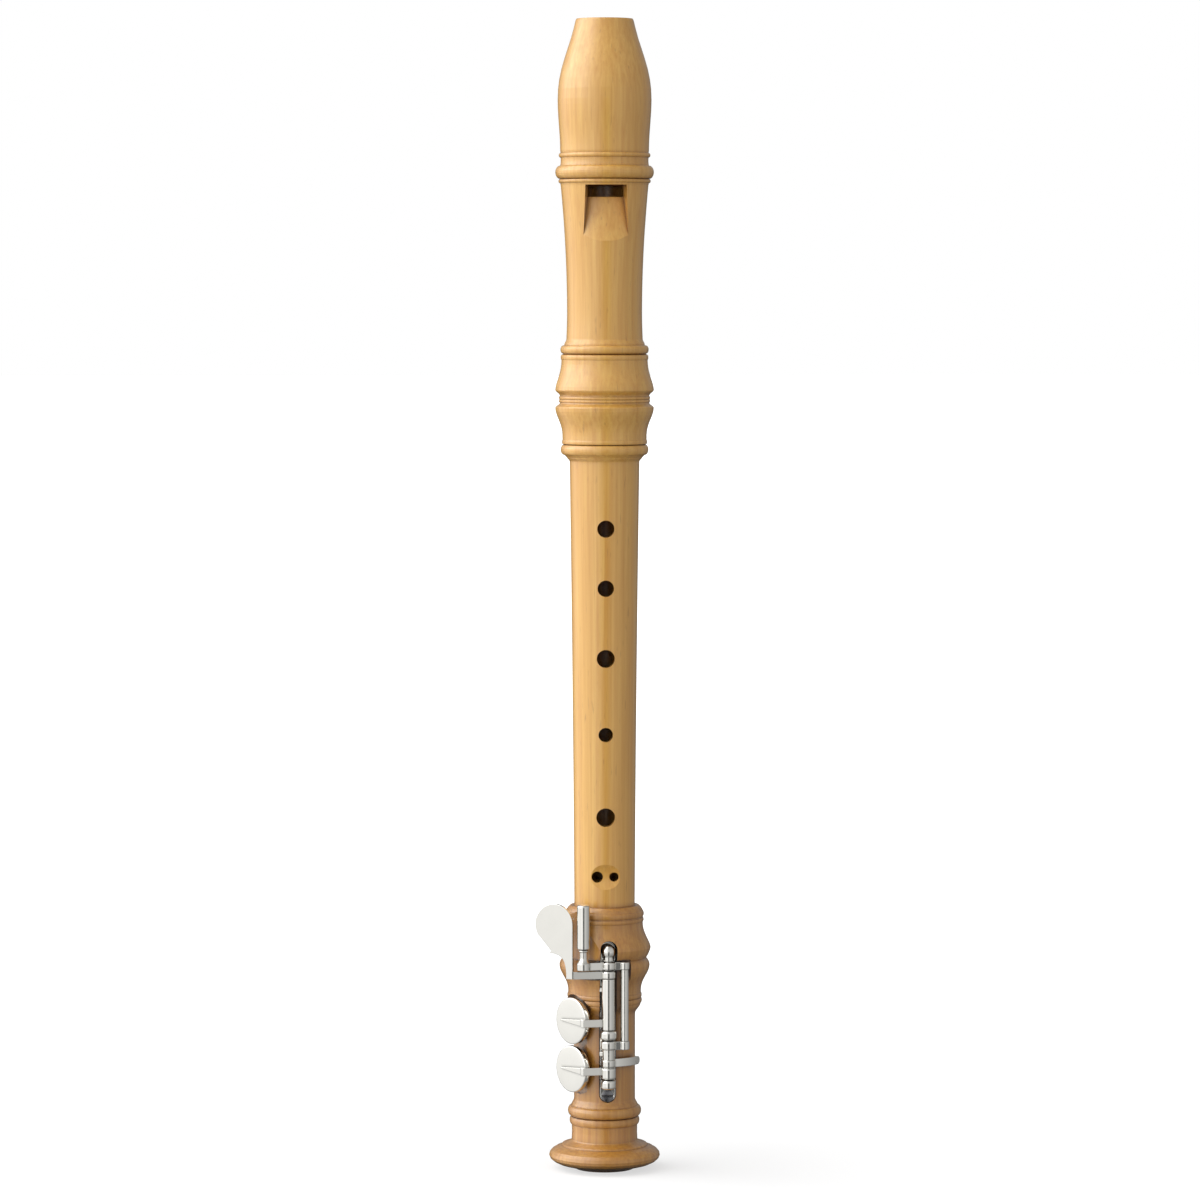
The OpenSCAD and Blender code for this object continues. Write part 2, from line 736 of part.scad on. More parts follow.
// Barrel post on a square base, which also holds the end of a spring
module barrel_post(r, z) {
    base_depth = hinge_r - plate_face - post_base_front;
    color(nickel_silver) on_hinge() difference() {
        union() {
            translate([0, 0, z]) barrel(r, post_height, post_edge, post_edge);
            translate([-post_base / 2, post_base_front, z + edge])
                cube([post_base, base_depth, post_height - 2 * edge]);
        }
        rod_hole(rod_fit);
        translate([-through / 2, hinge_r - plate_face, 0]) cube([through, through, through * 2]);
    }
}

module middle_post() {
    barrel_post(middle_post_r, middle_post_z);
}

module lower_post() {
    barrel_post(lower_post_r, lower_post_z);
}

module hinge_rod() {
    low = lower_post_z - rod_end;
    color(steel) on_hinge() difference() {
        translate([0, 0, low]) cylinder(r = hinge_rod_r, h = ball_z + rod_in_ball - low);
        translate([-through / 2, -screw_slot / 4, low - 1]) cube([through, screw_slot / 2, 1 + rod_end]);
    }
}

// Lug on a hinge tube, which bears on the free end of its spring
module spring_catch(tube_r, spring_top) {
    rotate([0, 0, catch_turn]) translate([tube_r - edge, -catch_width / 2, spring_top - catch_below_tip])
        cube([catch_reach - tube_r + edge, catch_width, catch_height]);
}

module hinge_tube(r, low, high, spring_top) {
    color(nickel_silver) on_hinge() difference() {
        union() {
            translate([0, 0, low]) cylinder(r = r, h = high - low);
            spring_catch(r, spring_top);
        }
        rod_hole();
    }
}

module leaf_key_tube() {
    hinge_tube(leaf_tube_r, middle_post_z + post_height + key_gap, leaf_hub_z, upper_spring_top);
}

module roller_key_tube() {
    hinge_tube(roller_tube_r, roller_tube_z, roller_tube_top, lower_spring_top);
}

// Spring wire from inside a post to beside its catch
module spring_wire(low, high) {
    color(steel) on_hinge() rotate([0, 0, spring_turn]) translate([spring_ring_r, 0, low])
        cylinder(r = spring_r, h = high - low);
}

module upper_spring() {
    spring_wire(middle_post_z + post_height - spring_in_post, upper_spring_top);
}

module lower_spring() {
    spring_wire(lower_post_z + post_height - spring_in_post, lower_spring_top);
}

// Outline of the leaf, measured from its straight edge and up from its root
function leaf_run() =
    let (lobe = [leaf_width / 2, leaf_height - leaf_lobe_r])
    concat([[0, 0], [0, lobe[1]]],
        [for (i = [1 : 2 * curve_steps]) let (turn = 180 + 210 * i / (2 * curve_steps))
            [lobe[0] + lobe[0] * cos(turn), lobe[1] - leaf_lobe_r * sin(turn)]],
        [leaf_step_in, leaf_step],
        [for (i = [0 : curve_steps]) let (turn = 90 * i / curve_steps)
            let (rise = 1 - sin(turn))
            [leaf_root + (leaf_waist - leaf_root) * rise + (leaf_step[0] - leaf_waist) * pow(rise, 2),
                leaf_step[1] * cos(turn)]]);

module leaf_touch() {
    low = leaf_hub_z + (hub_height - arm_height) / 2;
    root = [leaf_x, leaf_y];
    plate_middle = leaf_thickness / 2;
    color(nickel_silver) on_hinge() difference() {
        union() {
            translate([0, 0, leaf_hub_z]) barrel(hub_r, hub_height, collar_edge, collar_edge);
            translate([0, 0, low]) linear_extrude(arm_height)
                bar([0, 0], root + plate_middle * [-sin(leaf_turn), cos(leaf_turn)] * -1, arm_depth);
            translate([leaf_x, leaf_y, low]) rotate([0, 0, leaf_turn]) rotate([90, 0, 0])
                linear_extrude(leaf_thickness) polygon(leaf_run());
        }
        rod_hole();
    }
}

// Heel on the leaf key's tube, which meets the plate when the key stands open
module leaf_stop() {
    color(nickel_silver) on_hinge() difference() {
        translate([heel_x[0], heel_front, ball_z - heel_drop])
            cube([heel_x[1] - heel_x[0], heel_back - heel_front, heel_height]);
        translate([0, 0, ball_z - heel_drop - 1]) cylinder(r = leaf_tube_r, h = heel_height + 2);
    }
}

module leaf_stop_cork() {
    color(cork) on_hinge() translate([heel_x[0], heel_back, ball_z - heel_drop])
        cube([heel_x[1] - heel_x[0], hinge_r - plate_face - stop_gap - heel_back, heel_height]);
}

// Arm from a hinge tube to its cup: a bent bar that ends in a spear along the cup's face
module cup_arm(z, tube_r, collar_z = 0, collar_h = 0) {
    hinge = [hinge_r * cos(pad_turn), -hinge_r * sin(pad_turn)];
    corner = [face_r, cup_r];
    side = arm_thickness / 2 * [corner[1] - hinge[1], hinge[0] - corner[0]] / norm(corner - hinge);
    color(nickel_silver) difference() {
        union() {
            on_pad(z - arm_height / 2) linear_extrude(arm_height)
                polygon([hinge + side, corner, corner - [0, elbow_grip],
                    corner + [spear_thickness, -elbow_reach], corner + [elbow_depth, -elbow_reach / 2],
                    corner + [elbow_depth, elbow_rise], hinge - side]);
            on_pad(z) translate([face_r, 0, 0]) rotate([90, 0, 90]) linear_extrude(spear_thickness)
                polygon([[cup_r - 1, -spear_half], [cup_r - 1, spear_half], [-spear_tip, spear_tip_half],
                    [-spear_tip, -spear_tip_half]]);
            if (collar_h > 0) on_hinge(collar_z) barrel(hub_r, collar_h, collar_edge, collar_edge);
        }
        on_hinge(z - through / 2) cylinder(r = tube_r, h = through);
    }
}

module upper_cup_arm() {
    cup_arm(upper_pad_z, leaf_tube_r);
}

module lower_cup_arm() {
    cup_arm(lower_pad_z, roller_tube_r, roller_tube_z, cup_collar_height);
}

module pad_cup(z) {
    back = face_r - cup_thickness;
    color(nickel_silver) on_pad(z) difference() {
        translate([back, 0, 0]) rotate([0, 90, 0]) barrel(cup_r, cup_thickness, eps, edge);
        translate([back - 1, 0, 0]) rotate([0, 90, 0])
            cylinder(r = cup_r - cup_wall, h = 1 + cup_thickness - cup_floor);
    }
}

module pad(z) {
    color(leather) on_pad(z) translate([seat_r + pad_gap, 0, 0]) rotate([0, 90, 0])
        cylinder(r = cup_r - pad_inset, h = pad_proud + cup_thickness - cup_floor);
}

module upper_pad_cup() {
    pad_cup(upper_pad_z);
}

module lower_pad_cup() {
    pad_cup(lower_pad_z);
}

module upper_pad() {
    pad(upper_pad_z);
}

module lower_pad() {
    pad(lower_pad_z);
}

module roller_arm() {
    low = roller_hub_z + (hub_height - arm_height) / 2;
    touch = [roller_x, roller_y];
    lug = [bridge_x, 0];
    color(nickel_silver) on_hinge() difference() {
        union() {
            translate([0, 0, roller_hub_z]) barrel(hub_r, hub_height, collar_edge, collar_edge);
            translate([0, 0, low]) linear_extrude(arm_height) {
                bar([0, 0], touch, arm_depth);
                bar([0, 0], lug, arm_depth);
            }
            translate([roller_x, roller_y, low]) barrel(boss_round_r, arm_height);
            translate([bridge_x, 0, low]) barrel(bridge_boss_r, arm_height);
        }
        rod_hole();
    }
}

// Pin for the roller, on a flared stem with a bead
module roller_pin() {
    low = roller_hub_z + (hub_height + arm_height) / 2;
    bead_z = low + stem_height;
    pin_z = bead_z + pin_bead_height;
    color(nickel_silver) on_hinge() translate([roller_x, roller_y, 0]) turned(concat(
        bowed([low, stem_foot_r], [low + stem_flare_height, stem_r], stem_bow),
        [[stem_r, low + stem_flare_height]],
        bead([bead_z + pin_bead_height / 2, pin_bead_r, stem_r, pin_bead_height]),
        [[pin_r, pin_z], [pin_r, pin_z + roller_gap + pin_length]]));
}

module touch_roller() {
    low = roller_hub_z + (hub_height + arm_height) / 2 + stem_height + pin_bead_height + roller_gap;
    color(nickel_silver) on_hinge() translate([roller_x, roller_y, low]) difference() {
        barrel(roller_r, roller_length, edge, roller_dome);
        translate([0, 0, -1]) cylinder(r = pin_r + hinge_clearance, h = pin_length + 1 + roller_gap);
    }
}

module bridge_rod() {
    low = roller_tube_top - edge;
    high = roller_hub_z + (hub_height - arm_height) / 2;
    color(nickel_silver) on_hinge() translate([bridge_x, 0, low]) cylinder(r = bridge_r, h = high - low);
}

// Collar on the roller key's tube, with the lug that takes the bridge rod
module roller_key_collar() {
    low = roller_tube_top - collar_height;
    lug_h = collar_height - edge;
    color(nickel_silver) on_hinge() difference() {
        union() {
            translate([0, 0, low]) barrel(collar_r, collar_height, collar_edge, collar_edge);
            translate([0, 0, low]) linear_extrude(lug_h) bar([0, 0], [bridge_x, 0], arm_depth);
            translate([bridge_x, 0, low]) barrel(bridge_boss_r, lug_h);
        }
        translate([0, 0, low - 1]) cylinder(r = roller_tube_r, h = collar_height + 2);
    }
}

// Piece of a ring about the bore, between two turns from the front towards the right
module ring_piece(r_in, r_out, height, from, to) {
    reach = 2 * r_out;
    linear_extrude(height) difference() {
        intersection() {
            circle(r_out);
            polygon([[0, 0], reach * [sin(from), -cos(from)],
                reach * [sin((from + to) / 2), -cos((from + to) / 2)], reach * [sin(to), -cos(to)]]);
        }
        circle(r_in);
    }
}

module tail_lever() {
    collar_z = roller_tube_z + cup_collar_height;
    middle_z = collar_z + tail_collar_height / 2;
    color(nickel_silver) difference() {
        union() {
            on_hinge(collar_z) barrel(tail_collar_r, tail_collar_height, collar_edge, collar_edge);
            on_foot() translate([0, 0, middle_z - tail_width / 2])
                ring_piece(tail_r, tail_r + tail_thickness, tail_width, 0, tail_turn);
            on_foot() translate([0, 0, middle_z]) rotate([0, 0, tail_turn - 90]) translate([tail_r, 0, 0])
                rotate([0, 90, 0]) cylinder(d = tail_width, h = tail_thickness);
        }
        on_hinge(collar_z - 1) cylinder(r = roller_tube_r, h = tail_collar_height + 2);
    }
}

module tail_cork() {
    middle_z = roller_tube_z + cup_collar_height + tail_collar_height / 2;
    color(cork) on_foot() translate([0, 0, middle_z - tail_cork_width / 2])
        ring_piece(foot_tube_top[1] + stop_gap, tail_r, tail_cork_width,
            tail_cork_turn[0], tail_cork_turn[1]);
}

head_joint();
windway_block();
middle_joint();
upper_tenon_cork();
lower_tenon_cork();
foot_joint();
key_plate();
plate_screws();
ball_post();
middle_post();
lower_post();
hinge_rod();
leaf_touch();
leaf_key_tube();
leaf_stop();
leaf_stop_cork();
upper_cup_arm();
upper_pad_cup();
upper_pad();
upper_spring();
roller_arm();
roller_pin();
touch_roller();
bridge_rod();
roller_key_collar();
roller_key_tube();
tail_lever();
tail_cork();
lower_cup_arm();
lower_pad_cup();
lower_pad();
lower_spring();
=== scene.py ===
# %% [markdown]
# # A soprano recorder in boxwood, with two keys of polished nickel silver
# The CAD frame already holds every part at its real size, in metres, with the bore's axis on Z and the
# resting face of the bell at z = 0. This lesson dresses that frame: a small studio, a camera, the wood,
# the metal, and then the pieces that deserve a finer surface than a machine model gives.

# %% Load the frame and keep its box
import math

import bmesh
import bpy
import numpy as np
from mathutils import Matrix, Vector


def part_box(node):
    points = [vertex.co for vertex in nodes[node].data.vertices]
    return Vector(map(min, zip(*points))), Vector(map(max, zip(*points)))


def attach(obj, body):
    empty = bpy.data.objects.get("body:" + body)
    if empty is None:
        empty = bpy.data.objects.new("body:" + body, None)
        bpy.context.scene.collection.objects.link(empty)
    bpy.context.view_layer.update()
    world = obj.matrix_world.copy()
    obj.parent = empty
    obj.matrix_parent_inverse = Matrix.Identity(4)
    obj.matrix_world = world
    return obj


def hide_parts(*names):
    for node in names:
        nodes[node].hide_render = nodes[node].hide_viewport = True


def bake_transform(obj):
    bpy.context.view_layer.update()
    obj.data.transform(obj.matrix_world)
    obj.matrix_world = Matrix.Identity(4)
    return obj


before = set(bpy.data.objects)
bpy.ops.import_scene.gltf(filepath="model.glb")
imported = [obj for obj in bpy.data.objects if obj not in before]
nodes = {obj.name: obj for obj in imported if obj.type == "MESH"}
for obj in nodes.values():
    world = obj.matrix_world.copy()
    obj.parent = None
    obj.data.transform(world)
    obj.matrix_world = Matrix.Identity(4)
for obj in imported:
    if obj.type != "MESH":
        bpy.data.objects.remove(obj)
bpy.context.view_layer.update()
MM = 0.001

# %% [markdown]
# ## The camera
# The recorder stands upright and is seen from a little over a metre away with a long lens, so its sides
# stay nearly parallel. The camera stands just left of the front and above the middle, and looks down by
# a few degrees, which shows the upper faces of the rings. Sensor shift and depth of field stay off.

# %% Set up the camera
LONG_LENS_MM = 150
SENSOR_MM = 36
CAMERA_DISTANCE = 1422.5 * MM
CAMERA_HEIGHT = 250 * MM
CAMERA_TURN = math.radians(-2.3)
AIM = Vector((-1.3 * MM, 0, 163.2 * MM))

camera_data = bpy.data.cameras.new("studio_camera")
camera_data.lens = LONG_LENS_MM
camera_data.sensor_width = SENSOR_MM
camera_data.clip_start = 0.05
camera = bpy.data.objects.new("studio_camera", camera_data)
camera.location = (CAMERA_DISTANCE * math.sin(CAMERA_TURN), -CAMERA_DISTANCE * math.cos(CAMERA_TURN),
                   CAMERA_HEIGHT)
camera.rotation_euler = (AIM - camera.location).to_track_quat("-Z", "Y").to_euler()
scene = bpy.context.scene
scene.collection.objects.link(camera)
scene.camera = camera
scene.view_settings.view_transform = "Standard"
print("camera at", [round(v, 3) for v in camera.location])

# %% [markdown]
# ## The studio
# Polished metal has no look of its own: it shows the room. Silverware is best shown inside a tent of
# white cloth, lit more strongly from the left, with a narrow slit for the lens. The slit draws the thin
# dark line down each tube, and the strong side turns the wood from cream on the left to brown on the
# right. Lamps behind cloth could be modelled one by one. Here the whole tent is the sky, and its
# brightness is written down by direction, so there are no gaps and no hard edges between the panels.
# The cloth behind the object is dark at its own height, which draws a darker line round the metal.

# %% Write the tent's brightness by direction
# Turn from the front in degrees, positive towards +X, and the brightness of the cloth there:
# once for the low cloth at the object's own height, which the upright tubes mirror, and once for the
# high cloth that the lamps stand behind
LOW_TENT = [(-180, 0.05), (-152, 0.12), (-134, 0.8), (-120, 1.3), (-96, 1.36), (-60, 1.25), (-44, 1.25),
            (-30, 1.5), (-16, 1.0), (-8, 0.95), (-6.5, 0.0), (9, 0.0), (10.5, 0.5), (22, 0.85), (60, 0.62),
            (105, 0.4), (140, 0.3), (152, 0.12), (180, 0.05)]
HIGH_TENT = [(-180, 0.3), (-150, 0.4), (-135, 0.8), (-112, 3.0), (-58, 3.0), (-34, 1.4), (0, 0.65), (60, 0.6),
             (105, 0.36), (140, 0.3), (180, 0.3)]
# Places from straight down at 0, through the horizon at a half, to straight up at 1: the share of the high
# cloth there, and how bright the tent stays there
HIGH_CLOTH_BY_RISE = [(0, 0), (0.5, 0), (0.58, 1), (1, 1)]
BRIGHTNESS_BY_RISE = [(0, 0.35), (0.4, 0.8), (0.5, 1.0), (0.8, 1.0), (1, 0.7)]
TENT_TOP = 3.2

sky = bpy.data.worlds.new("tent")
scene.world = sky
sky.use_nodes = True
sky_nodes, sky_links = sky.node_tree.nodes, sky.node_tree.links
sky_nodes.clear()


def sky_math(operation, a, b=0.0):
    """One sum on two sockets or numbers."""
    made = sky_nodes.new("ShaderNodeMath")
    made.operation = operation
    for socket, value in zip(made.inputs, (a, b)):
        if isinstance(value, (int, float)):
            socket.default_value = value
        else:
            sky_links.new(value, socket)
    return made.outputs["Value"]


def sky_ramp(value, stops, top):
    """Grey ramp through (place, brightness) stops: a place is a share, and `top` is the most brightness."""
    made = sky_nodes.new("ShaderNodeValToRGB")
    sky_links.new(value, made.inputs["Fac"])
    elements = made.color_ramp.elements
    elements[0].position, elements[1].position = stops[0][0], stops[-1][0]
    for place, brightness in stops[1:-1]:
        elements.new(place)
    for element, (place, brightness) in zip(elements, stops):
        element.color = (brightness / top, brightness / top, brightness / top, 1)
    return made.outputs["Color"]


axes = sky_nodes.new("ShaderNodeSeparateXYZ")
sky_links.new(sky_nodes.new("ShaderNodeTexCoord").outputs["Generated"], axes.inputs["Vector"])
tent_turn = sky_math("ARCTAN2", axes.outputs["X"], sky_math("MULTIPLY", axes.outputs["Y"], -1.0))
turn_share = sky_math("ADD", sky_math("DIVIDE", tent_turn, 2 * math.pi), 0.5)
low_cloth, high_cloth = (
    sky_ramp(turn_share, [(degrees / 360 + 0.5, brightness) for degrees, brightness in stops], TENT_TOP)
    for stops in (LOW_TENT, HIGH_TENT))
rise_share = sky_math("ADD", sky_math("MULTIPLY", axes.outputs["Z"], 0.5), 0.5)
high_share = sky_ramp(rise_share, HIGH_CLOTH_BY_RISE, 1.0)
shade = sky_ramp(rise_share, BRIGHTNESS_BY_RISE, 1.0)
blend = sky_nodes.new("ShaderNodeMix")
blend.data_type = "FLOAT"
for source, socket in ((high_share, "Factor"), (low_cloth, "A"), (high_cloth, "B")):
    sky_links.new(source, blend.inputs[socket])
tent = sky_math("MULTIPLY", sky_math("MULTIPLY", blend.outputs["Result"], shade), TENT_TOP)
ray = sky_nodes.new("ShaderNodeLightPath")
tent_glow = sky_nodes.new("ShaderNodeBackground")
tent_glow.inputs["Color"].default_value = (1, 1, 1, 1)
sky_links.new(sky_math("MAXIMUM", tent, ray.outputs["Is Camera Ray"]), tent_glow.inputs["Strength"])
sky_links.new(tent_glow.outputs["Background"], sky_nodes.new("ShaderNodeOutputWorld").inputs["Surface"])
print("tent stops:", len(LOW_TENT), "and", len(HIGH_TENT), "brightest:", TENT_TOP)

# %% [markdown]
# ## Grids that close on themselves
# Each new surface is a grid of points worked out from a formula. Where a direction goes right round, the
# last row joins the first. Points that meet at a pole are merged, so the piece is closed like a real one.

# %% Two helpers for new surfaces
MERGE_DISTANCE = 0.001 * MM
SHARP_ANGLE = math.radians(40)


def surface_mesh(name, x, y, z, close_u=False, close_v=False):
    """Quad mesh over a grid of points: u runs along the first index and v along the second."""
    rows, columns = x.shape
    points = np.stack([x, y, z], -1).reshape(-1, 3)
    u = np.arange(rows if close_u else rows - 1)
    v = np.arange(columns if close_v else columns - 1)
    uu, vv = np.meshgrid(u, v, indexing="ij")
    next_u, next_v = (uu + 1) % rows, (vv + 1) % columns
    faces = np.stack([uu * columns + vv, next_u * columns + vv,
                      next_u * columns + next_v, uu * columns + next_v], -1)
    mesh = bpy.data.meshes.new(name)
    mesh.from_pydata(points.tolist(), [], faces.reshape(-1, 4).tolist())
    mesh.validate()
    return mesh


def finished(name, mesh):
    """Closes the poles, points the faces outwards, smooths the round parts and links the object."""
    shape = bmesh.new()
    shape.from_mesh(mesh)
    bmesh.ops.remove_doubles(shape, verts=shape.verts, dist=MERGE_DISTANCE)
    bmesh.ops.recalc_face_normals(shape, faces=shape.faces)
    shape.to_mesh(mesh)
    shape.free()
    mesh.shade_smooth()
    mesh.set_sharp_from_angle(angle=SHARP_ANGLE)
    piece = bpy.data.objects.new(name, mesh)
    scene.collection.objects.link(piece)
    return piece


print("edges stay sharp past", round(math.degrees(SHARP_ANGLE)), "degrees")

# %% [markdown]
# ## The floor
# The floor is a sheet of matt white paper. It takes the soft shadow beside the bell. Its own glow grows
# with the distance from the object, so it runs into the white of the tent with no line between them. The
# mirrors and the fill light don't see it, because the tent's lower half already stands for it there.

# %% Lay a plain pale floor
FLOOR_RADIUS = 14.0
FLOOR_DROP = 0.05 * MM
PAPER_GREY = 0.42
PAPER_ROUGHNESS = 0.9
# Distance from the middle of the floor, and the glow there
NEAR_GLOW = (0.05, 0.62)
FAR_GLOW = (0.6, 1.0)

floor_line = np.linspace(-FLOOR_RADIUS, FLOOR_RADIUS, 3)
floor_u, floor_v = np.meshgrid(floor_line, floor_line, indexing="ij")
floor = bpy.data.objects.new("floor", surface_mesh("floor", floor_u, floor_v, 0 * floor_u - FLOOR_DROP))
scene.collection.objects.link(floor)
floor.visible_diffuse = False
floor.visible_glossy = False

paper = bpy.data.materials.new("white_paper")
paper.use_nodes = True
paper_nodes, paper_links = paper.node_tree.nodes, paper.node_tree.links
paper_shader = paper_nodes["Principled BSDF"]
paper_shader.inputs["Base Color"].default_value = (PAPER_GREY, PAPER_GREY, PAPER_GREY, 1)
paper_shader.inputs["Roughness"].default_value = PAPER_ROUGHNESS
paper_shader.inputs["Specular IOR Level"].default_value = 0.0
paper_shader.inputs["Emission Color"].default_value = (1, 1, 1, 1)
reach = paper_nodes.new("ShaderNodeVectorMath")
reach.operation = "LENGTH"
paper_links.new(paper_nodes.new("ShaderNodeTexCoord").outputs["Object"], reach.inputs[0])
glow = paper_nodes.new("ShaderNodeMapRange")
for socket, number in zip(("From Min", "To Min", "From Max", "To Max"), (*NEAR_GLOW, *FAR_GLOW)):
    glow.inputs[socket].default_value = number
paper_links.new(reach.outputs["Value"], glow.inputs["Value"])
paper_links.new(glow.outputs["Result"], paper_shader.inputs["Emission Strength"])
floor.data.materials.append(paper)
print("floor half-width in metres:", FLOOR_RADIUS)

# %% [markdown]
# ## Finishes
# Every finish is worked out in three dimensions from the place on the object, so the grain runs through
# the wood: long streaks along the bore on the sides, and small pores on the end grain. A class holds the
# node chains that the finishes share, so each recipe below reads as a short list.

# %% A short way to write a finish
class Finish:
    """A material with its principled shader, and one method for each kind of node that the finishes use.

    A noise's numbers are features per metre along X, Y and Z, so a small last number draws streaks along Z.
    """

    def __init__(self, name, colour, roughness, metallic=0.0):
        self.material = bpy.data.materials.new(name)
        self.material.use_nodes = True
        self.tree = self.material.node_tree
        self.shader = self.tree.nodes["Principled BSDF"]
        self.set(**{"Base Color": (*colour, 1), "Roughness": roughness, "Metallic": metallic})
        self.place = self.node("ShaderNodeTexCoord").outputs["Object"]

    def set(self, **values):
        for name, value in values.items():
            self.shader.inputs[name].default_value = value

    def node(self, kind, **settings):
        made = self.tree.nodes.new(kind)
        for name, value in settings.items():
            setattr(made, name, value)
        return made

    def link(self, source, target):
        self.tree.links.new(source, target)

    def scaled(self, per_metre, turn=(0, 0, 0), shift=(0, 0, 0)):
        """The place on the object, stretched: features per metre along X, Y and Z."""
        mapping = self.node("ShaderNodeMapping")
        self.link(self.place, mapping.inputs["Vector"])
        mapping.inputs["Scale"].default_value = per_metre
        mapping.inputs["Rotation"].default_value = turn
        mapping.inputs["Location"].default_value = shift
        return mapping.outputs["Vector"]

    def noise(self, per_metre, detail=3.0, roughness=0.55, distortion=0.0, shift=(0, 0, 0)):
        made = self.node("ShaderNodeTexNoise")
        self.link(self.scaled(per_metre, shift=shift), made.inputs["Vector"])
        made.inputs["Scale"].default_value = 1.0
        made.inputs["Detail"].default_value = detail
        made.inputs["Roughness"].default_value = roughness
        made.inputs["Distortion"].default_value = distortion
        return made.outputs["Fac"]

    def ramp(self, value, stops):
        """Colour ramp: stops are (position, colour)."""
        made = self.node("ShaderNodeValToRGB")
        self.link(value, made.inputs["Fac"])
        made.color_ramp.elements[0].position = stops[0][0]
        made.color_ramp.elements[0].color = (*stops[0][1], 1)
        made.color_ramp.elements[1].position = stops[-1][0]
        made.color_ramp.elements[1].color = (*stops[-1][1], 1)
        for position, colour in stops[1:-1]:
            made.color_ramp.elements.new(position).color = (*colour, 1)
        return made.outputs["Color"]

    def band(self, value, low, high, to_low=0.0, to_high=1.0):
        """The value's run from low to high, mapped to a new run."""
        made = self.node("ShaderNodeMapRange")
        self.link(value, made.inputs["Value"])
        for name, number in (("From Min", low), ("From Max", high), ("To Min", to_low), ("To Max", to_high)):
            made.inputs[name].default_value = number
        return made.outputs["Result"]

    def mix(self, factor, a, b, how="MIX"):
        """Mix of two colours; a factor is a number or a socket, and a colour is a tuple or a socket."""
        made = self.node("ShaderNodeMix", data_type="RGBA", blend_type=how)
        for socket, value in ((made.inputs[0], factor), (made.inputs[6], a), (made.inputs[7], b)):
            if isinstance(value, tuple):
                socket.default_value = (*value, 1)
            elif isinstance(value, (int, float)):
                socket.default_value = value
            else:
                self.link(value, socket)
        return made.outputs[2]

    def eased(self, radius):
        """Softens every edge in the shading, as a polishing cloth or a scraper does."""
        made = self.node("ShaderNodeBevel", samples=6)
        made.inputs["Radius"].default_value = radius
        self.link(made.outputs["Normal"], self.shader.inputs["Normal"])

    def crevice(self, reach):
        """1 in the open and 0 in a groove narrower than the reach."""
        made = self.node("ShaderNodeAmbientOcclusion", samples=6)
        made.inputs["Distance"].default_value = reach
        return made.outputs["AO"]

    def bump(self, height, depth, strength=1.0):
        made = self.node("ShaderNodeBump")
        made.inputs["Distance"].default_value = depth
        made.inputs["Strength"].default_value = strength
        self.link(height, made.inputs["Height"])
        previous = self.shader.inputs["Normal"]
        if previous.is_linked:
            self.link(previous.links[0].from_socket, made.inputs["Normal"])
        self.link(made.outputs["Normal"], self.shader.inputs["Normal"])


def srgb(red, green, blue):
    """Screen colour of 0 to 255 as the linear light that a shader wants."""
    share = np.array([red, green, blue]) / 255
    return tuple(np.where(share <= 0.04045, share / 12.92, ((share + 0.055) / 1.055) ** 2.4).tolist())


print("a screen grey of 128 is a light of", round(srgb(128, 128, 128)[0], 3))


# %% [markdown]
# ## Boxwood
# Boxwood is dense and nearly without figure. It shows fine lengthwise streaks, a slow drift of tone, and
# short dark flecks where the tool crossed the grain. Oil leaves it satin. The grooves beside the rings get
# painted shade, a darker colour where little light reaches, and the bore is painted nearly black, because
# hardly any light comes out of it. Both are found by how far a point can see: a little way for a groove,
# and a long way for the bore.

# %% Mix the wood
GROOVE_REACH = 1.8 * MM
BORE_REACH = 12 * MM
BORE_SHADE_COLOUR = (0.006, 0.003, 0.001)
SCRAPED_EDGE = 0.12 * MM


def boxwood(name, pale, deep, groove, drift=0.35):
    """Oiled wood: `drift` is how much of the deep tone the slow clouds bring in, and `groove` is the colour of
    the flecks and of the painted shade in the grooves.
    """
    wood = Finish(name, pale, 0.4)
    streaks = wood.noise((900, 900, 16), detail=5, roughness=0.62, distortion=0.3)
    fine = wood.noise((3200, 3200, 55), detail=2, roughness=0.5)
    slow = wood.noise((75, 75, 11), detail=2, distortion=0.6, shift=(3, 1, 0))
    tone = wood.mix(wood.band(streaks, 0.3, 0.72), deep, pale)
    tone = wood.mix(wood.band(slow, 0.42, 0.7, 0, drift), tone, deep)
    flecks = wood.noise((1500, 1500, 190), detail=1, shift=(7, 2, 5))
    tone = wood.mix(wood.band(flecks, 0.66, 0.8, 0, 0.28), tone, groove)
    # Painted shade: the wood is mixed towards the dark third colour in the grooves beside the rings, where
    # little light reaches
    open_face = wood.crevice(GROOVE_REACH)
    tone = wood.mix(wood.band(open_face, 0.35, 0.92, 0.85, 0), tone, groove)
    # Painted shade: the inside of the bore is mixed towards near black, as hardly any light comes out of it
    shut_in = wood.crevice(BORE_REACH)
    tone = wood.mix(wood.band(shut_in, 0.04, 0.3, 0.95, 0), tone, BORE_SHADE_COLOUR)
    wood.link(tone, wood.shader.inputs["Base Color"])
    wood.link(wood.band(streaks, 0.25, 0.75, 0.46, 0.34), wood.shader.inputs["Roughness"])
    wood.set(**{"Coat Weight": 1.0, "Coat Roughness": 0.27, "Coat IOR": 1.62, "Specular IOR Level": 0.5})
    wood.eased(SCRAPED_EDGE)
    wood.bump(fine, 0.02 * MM, 0.5)
    wood.bump(streaks, 0.03 * MM, 0.4)
    return wood.material


pale_boxwood = boxwood("boxwood_oiled", srgb(228, 178, 84), srgb(206, 146, 56), srgb(124, 68, 16))
foot_boxwood = boxwood("boxwood_foot_oiled", srgb(204, 150, 62), srgb(170, 110, 34), srgb(92, 48, 10), 0.5)
print("woods:", pale_boxwood.name, "and", foot_boxwood.name)

